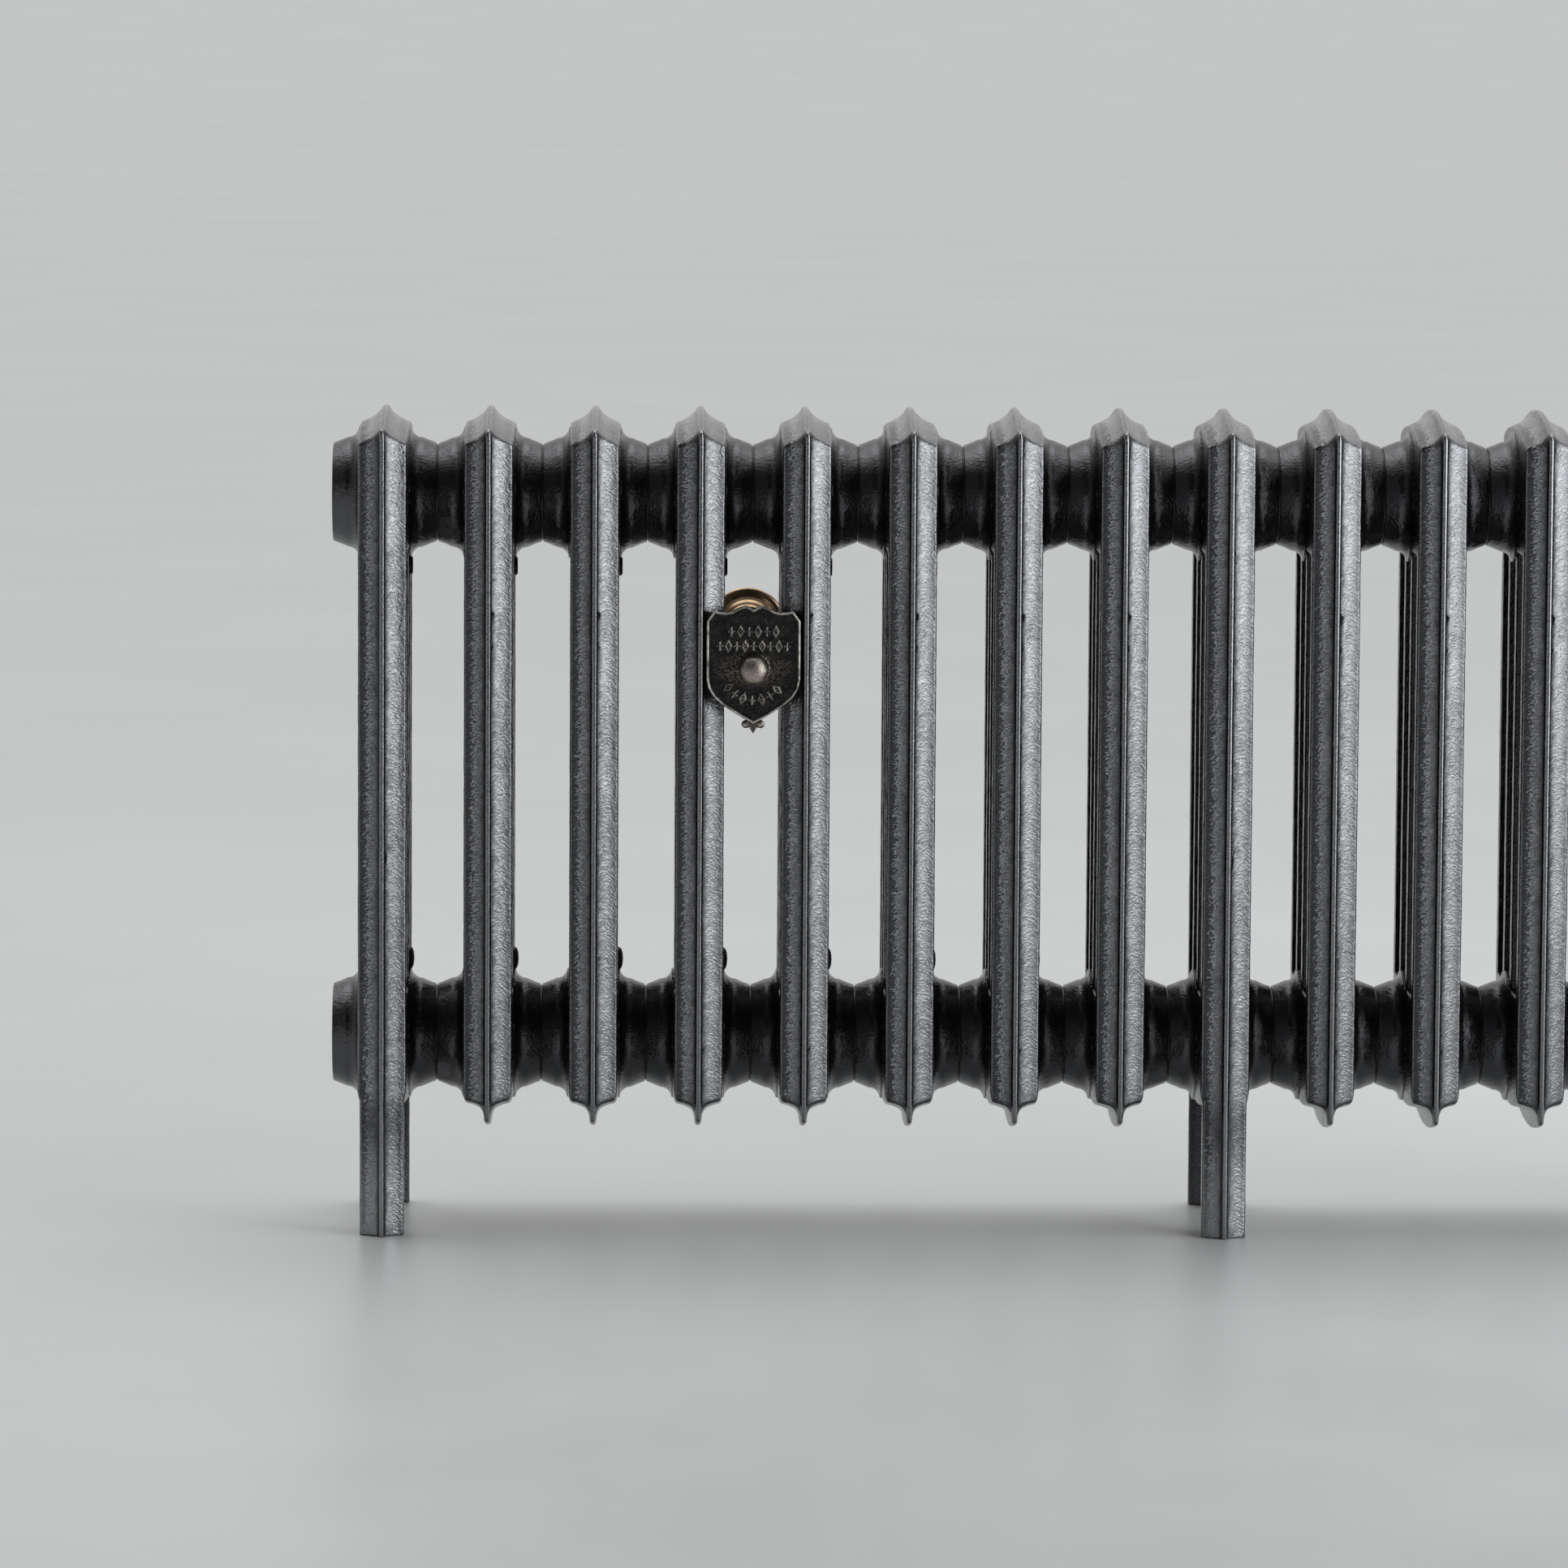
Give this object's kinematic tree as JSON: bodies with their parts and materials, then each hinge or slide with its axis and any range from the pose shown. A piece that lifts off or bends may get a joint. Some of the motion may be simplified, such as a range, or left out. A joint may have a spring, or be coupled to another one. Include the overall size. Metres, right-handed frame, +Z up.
{
  "type": "cast iron column radiator",
  "caption": "Cast iron column radiator on legs, built up from hollow sections joined at threaded hubs, with wall stays clamping it back to the wall.",
  "frame": {"origin": "on the floor at mid-length, midway between the front of the stay nuts and the wall", "axes": "+X along the row of sections towards the air vent end, -Y out of the front, +Y towards the wall, +Z up"},
  "size_m": [1.0192, 0.2822, 0.469],
  "materials": {
    "section_iron": "satin pewter-grey metallic finish over a finely hammered casting skin",
    "core_plug_black": "dull black",
    "zinc_steel": "dull zinc plating",
    "gasket_fibre": "matt dark fibre",
    "black_plug": "satin black",
    "seal_rubber": "matt rubber",
    "vent_brass": "turned brass",
    "dark_pewter": "blackened metal, worn bright along raised edges",
    "black_collar": "glossy blackened metal",
    "antique_brass": "polished antique brass"
  },
  "bodies": {
    "radiator": {"section_01": "section_iron", "section_02": "section_iron", "section_03": "section_iron", "section_04": "section_iron", "section_05": "section_iron", "section_06": "section_iron", "section_07": "section_iron", "section_08": "section_iron", "section_09": "section_iron", "section_10": "section_iron", "section_11": "section_iron", "section_12": "section_iron", "section_13": "section_iron", "section_14": "section_iron", "section_15": "section_iron", "section_16": "section_iron", "section_17": "section_iron", "core_plugs_top": "core_plug_black", "core_plugs_bottom": "core_plug_black", "nipples_top": "zinc_steel", "nipples_bottom": "zinc_steel", "stay_rod_left": "zinc_steel", "stay_rod_right": "zinc_steel", "gaskets_top": "gasket_fibre", "gaskets_bottom": "gasket_fibre", "flow_bush": "black_plug", "return_bush": "black_plug", "blank_plug": "black_plug", "vent_plug": "black_plug", "end_seals": "seal_rubber", "vent_body": "vent_brass", "stay_collar_left": "black_collar", "stay_collar_right": "black_collar", "stay_rosette_left": "antique_brass", "stay_rosette_right": "antique_brass"},
    "shield_left": {"stay_shield_left": "dark_pewter"},
    "shield_right": {"stay_shield_right": "dark_pewter"},
    "nut_left": {"stay_nut_left": "dark_pewter"},
    "nut_right": {"stay_nut_right": "dark_pewter"},
    "bleed": {"bleed_screw": "vent_brass"}
  },
  "joints": [
    {"name": "shield_left_slide", "type": "slide", "parent": "radiator", "child": "shield_left", "axis": [0, -1, 0], "range_m": [0, 0.006]},
    {"name": "nut_left_turn", "type": "hinge", "parent": "shield_left", "child": "nut_left", "pos_m": [-0.27, -0.1369, 0.325], "axis": [0, -1, 0], "range_deg": [0, 1440]},
    {"name": "shield_right_slide", "type": "slide", "parent": "radiator", "child": "shield_right", "axis": [0, -1, 0], "range_m": [0, 0.006]},
    {"name": "nut_right_turn", "type": "hinge", "parent": "shield_right", "child": "nut_right", "pos_m": [0.27, -0.1369, 0.325], "axis": [0, -1, 0], "range_deg": [0, 1440]},
    {"name": "bleed_turn", "type": "hinge", "parent": "radiator", "child": "bleed", "pos_m": [0.504, -0.0599, 0.4195], "axis": [1, 0, 0], "range_deg": [0, 360]}
  ],
  "couplings": [
    {"joint": "nut_left_turn", "follows": "shield_left_slide", "rad_per_m": 4188.8},
    {"joint": "nut_right_turn", "follows": "shield_right_slide", "rad_per_m": 4188.8}
  ]
}
